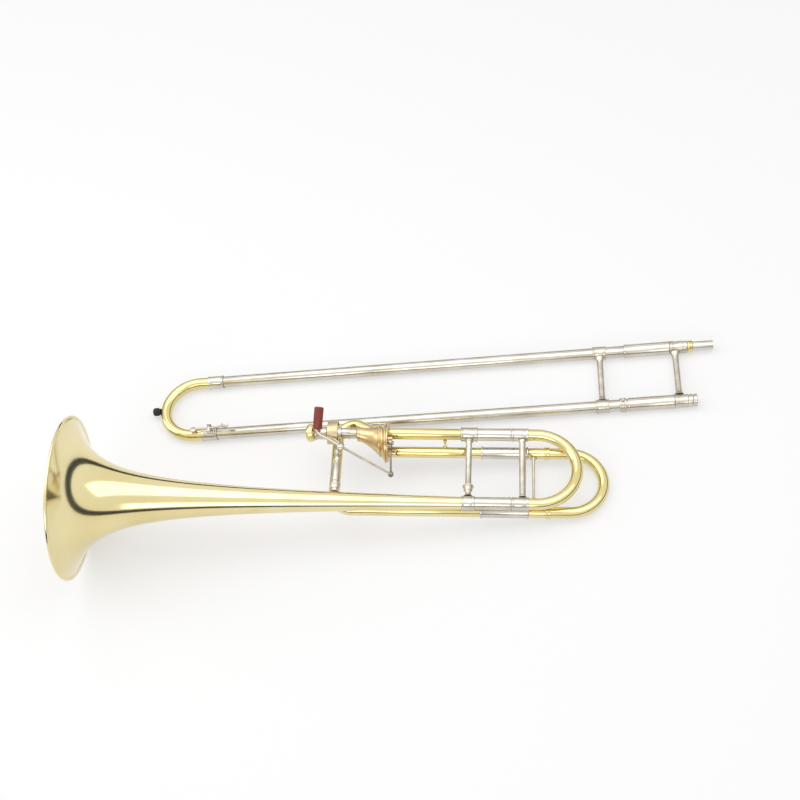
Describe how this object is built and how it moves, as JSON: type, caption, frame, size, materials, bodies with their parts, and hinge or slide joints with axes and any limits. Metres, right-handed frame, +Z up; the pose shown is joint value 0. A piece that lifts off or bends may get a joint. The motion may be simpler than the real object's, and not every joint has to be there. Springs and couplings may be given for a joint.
{
  "type": "trombone",
  "caption": "Tenor trombone with an axial-flow valve attachment, taken apart: flared bell section with tuning slides and thumb trigger, and the separate telescoping hand slide.",
  "frame": {"origin": "centre of the bounding box's bottom face, on the floor that both sections lie on", "axes": "+X from the bell's mouth towards the tuning bows, +Y from the bell section towards the hand slide, +Z up"},
  "size_m": [0.8578, 0.3746, 0.2146],
  "materials": {
    "lacquered_brass": "clear lacquered, polished",
    "nickel_silver": "satin to polished nickel silver",
    "valve_bronze": "satin bronze",
    "pale_bronze": "pale satin bronze",
    "steel": "brushed",
    "grip_rubber": "red-brown textured grip",
    "black_rubber": "matte",
    "cork": "natural cork"
  },
  "bodies": {
    "bell_section": {"bell": "lacquered_brass", "bell_ferrule": "nickel_silver", "bell_outer_sleeve": "nickel_silver", "gooseneck": "lacquered_brass", "gooseneck_ferrule": "nickel_silver", "gooseneck_outer_sleeve": "nickel_silver", "rear_brace_post": "nickel_silver", "rear_brace_foot": "nickel_silver", "slide_receiver": "nickel_silver", "valve_inlet_tube": "nickel_silver", "lever_saddle": "pale_bronze", "front_brace_post": "nickel_silver", "front_brace_foot": "nickel_silver", "valve_casing": "valve_bronze", "valve_back_plate": "valve_bronze", "valve_return_tube": "lacquered_brass", "f_outlet_tube": "lacquered_brass", "f_lower_tube": "lacquered_brass", "f_upper_sleeve": "nickel_silver", "f_lower_sleeve": "nickel_silver", "gooseneck_stay": "lacquered_brass", "bell_stay": "lacquered_brass", "lever_pivot": "nickel_silver"},
    "lock_nut": {"bell_lock_nut": "lacquered_brass"},
    "rotor": {"valve_rotor": "steel", "rotor_arm": "nickel_silver"},
    "trigger": {"trigger_lever": "nickel_silver", "trigger_grip": "grip_rubber"},
    "push_rod": {"push_rod": "steel"},
    "tuning_slide": {"tuning_bow": "lacquered_brass", "tuning_upper_leg": "nickel_silver", "tuning_lower_leg": "nickel_silver", "tuning_upper_ferrule": "nickel_silver", "tuning_lower_ferrule": "nickel_silver", "tuning_brace": "nickel_silver"},
    "f_slide": {"f_bow": "lacquered_brass", "f_slide_upper_leg": "nickel_silver", "f_slide_lower_leg": "nickel_silver", "f_slide_brace": "nickel_silver"},
    "inner_slide": {"inner_upper_tube": "nickel_silver", "inner_lower_tube": "nickel_silver", "inner_upper_ferrule": "nickel_silver", "inner_lower_ferrule": "nickel_silver", "cork_barrel_upper": "nickel_silver", "cork_barrel_lower": "nickel_silver", "inner_slide_brace": "nickel_silver", "slide_tenon": "nickel_silver", "tenon_collar": "lacquered_brass", "mouthpiece_receiver": "nickel_silver"},
    "outer_slide": {"outer_upper_tube": "nickel_silver", "outer_lower_tube": "nickel_silver", "outer_slide_brace": "nickel_silver", "crook_upper_ferrule": "nickel_silver", "crook_lower_ferrule": "nickel_silver", "slide_crook": "lacquered_brass", "crook_bumper": "black_rubber", "water_key_saddle": "nickel_silver"},
    "slide_lock": {"slide_lock_ring": "nickel_silver"},
    "water_key": {"water_key": "nickel_silver", "water_key_pad": "cork"}
  },
  "joints": [
    {"name": "hand_slide_lift", "type": "slide", "parent": "bell_section", "child": "inner_slide", "axis": [0, 0, 1], "range_m": [0, 0.25]},
    {"name": "hand_slide_travel", "type": "slide", "parent": "inner_slide", "child": "outer_slide", "axis": [-0.9998, -0.0175, 0], "range_m": [0, 0.6]},
    {"name": "slide_lock_turn", "type": "hinge", "parent": "outer_slide", "child": "slide_lock", "pos_m": [0.3059, 0.08655, 0.0096], "axis": [-0.9998, -0.0175, 0], "range_deg": [0, 30]},
    {"name": "water_key_press", "type": "hinge", "parent": "outer_slide", "child": "water_key", "pos_m": [-0.27111, 0.07648, 0.0242], "axis": [-0.0175, 0.9998, 0], "range_deg": [0, 14], "stiffness_Nm_per_rad": 0.05, "springref_deg": -22.92},
    {"name": "tuning_slide_pull", "type": "slide", "parent": "bell_section", "child": "tuning_slide", "axis": [0.9934, 0, -0.1149], "range_m": [0, 0.045]},
    {"name": "f_slide_pull", "type": "slide", "parent": "bell_section", "child": "f_slide", "axis": [0.9934, 0, -0.1149], "range_m": [0, 0.045]},
    {"name": "trigger_press", "type": "hinge", "parent": "bell_section", "child": "trigger", "pos_m": [-0.06518, -0.00328, 0.08043], "axis": [-0.0713, 0.784, -0.6167], "range_deg": [0, 15.55], "stiffness_Nm_per_rad": 0.3, "springref_deg": -20.05},
    {"name": "rotor_turn", "type": "hinge", "parent": "bell_section", "child": "rotor", "pos_m": [-0.01028, 0.01872, 0.05032], "axis": [0.9934, 0, -0.1149], "range_deg": [0, 42.5]},
    {"name": "push_rod_swing", "type": "hinge", "parent": "trigger", "child": "push_rod", "pos_m": [-0.00501, -0.02195, 0.03585], "axis": [-0.0713, 0.784, -0.6167], "range_deg": [0, 3]},
    {"name": "lock_nut_turn", "type": "hinge", "parent": "bell_section", "child": "lock_nut", "pos_m": [-0.11144, 0.02672, 0.07219], "axis": [0.9934, 0, -0.1149], "continuous": true}
  ],
  "couplings": [
    {"joint": "rotor_turn", "follows": "trigger_press", "ratio": 2.701},
    {"joint": "push_rod_swing", "follows": "trigger_press", "ratio": 0.1086}
  ]
}
